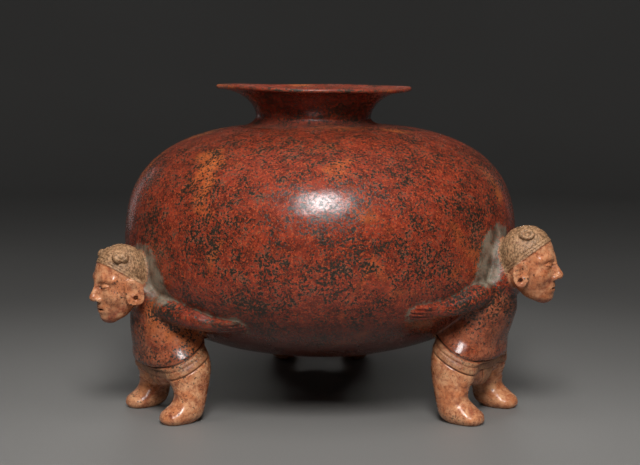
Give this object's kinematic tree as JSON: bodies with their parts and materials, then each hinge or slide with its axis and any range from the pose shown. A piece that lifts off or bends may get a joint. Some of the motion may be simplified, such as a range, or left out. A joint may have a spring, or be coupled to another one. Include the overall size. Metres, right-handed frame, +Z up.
{
  "type": "figural vessel",
  "caption": "Wide round-bellied storage jar with a short flared collar, carried on the backs of standing figures that hug its wall and serve as its feet.",
  "frame": {"origin": "middle of the bounding box at floor level, where the soles stand", "axes": "+Z up; the front is -Y, where the jar shows between the left bearer (towards -X) and the right bearer (towards +X); the third bearer stands behind, towards +Y"},
  "size_m": [0.34, 0.3444, 0.2401],
  "materials": {
    "jar_slip": "burnished dark red slip, densely speckled with black manganese spots",
    "speckled_slip": "burnished red-orange slip with scattered black spots",
    "orange_slip": "burnished orange slip, worn to pale tan on high points",
    "matt_clay": "unburnished tan clay with grey-green deposit"
  },
  "bodies": {
    "root": {"jar_bowl": "jar_slip", "jar_collar": "jar_slip", "jar_shoulder": "jar_slip", "left_bearer_head": "orange_slip", "left_bearer_left_arm": "speckled_slip", "left_bearer_left_ear": "orange_slip", "left_bearer_left_hair_knot": "matt_clay", "left_bearer_left_leg": "orange_slip", "left_bearer_loincloth": "matt_clay", "left_bearer_neck": "speckled_slip", "left_bearer_right_arm": "speckled_slip", "left_bearer_right_ear": "orange_slip", "left_bearer_right_hair_knot": "matt_clay", "left_bearer_right_leg": "orange_slip", "left_bearer_torso": "speckled_slip", "rear_bearer_head": "orange_slip", "rear_bearer_left_arm": "speckled_slip", "rear_bearer_left_ear": "orange_slip", "rear_bearer_left_hair_knot": "matt_clay", "rear_bearer_left_leg": "orange_slip", "rear_bearer_loincloth": "matt_clay", "rear_bearer_neck": "speckled_slip", "rear_bearer_right_arm": "speckled_slip", "rear_bearer_right_ear": "orange_slip", "rear_bearer_right_hair_knot": "matt_clay", "rear_bearer_right_leg": "orange_slip", "rear_bearer_torso": "speckled_slip", "right_bearer_head": "orange_slip", "right_bearer_left_arm": "speckled_slip", "right_bearer_left_ear": "orange_slip", "right_bearer_left_hair_knot": "matt_clay", "right_bearer_left_leg": "orange_slip", "right_bearer_loincloth": "matt_clay", "right_bearer_neck": "speckled_slip", "right_bearer_right_arm": "speckled_slip", "right_bearer_right_ear": "orange_slip", "right_bearer_right_hair_knot": "matt_clay", "right_bearer_right_leg": "orange_slip", "right_bearer_torso": "speckled_slip"}
  },
  "joints": []
}
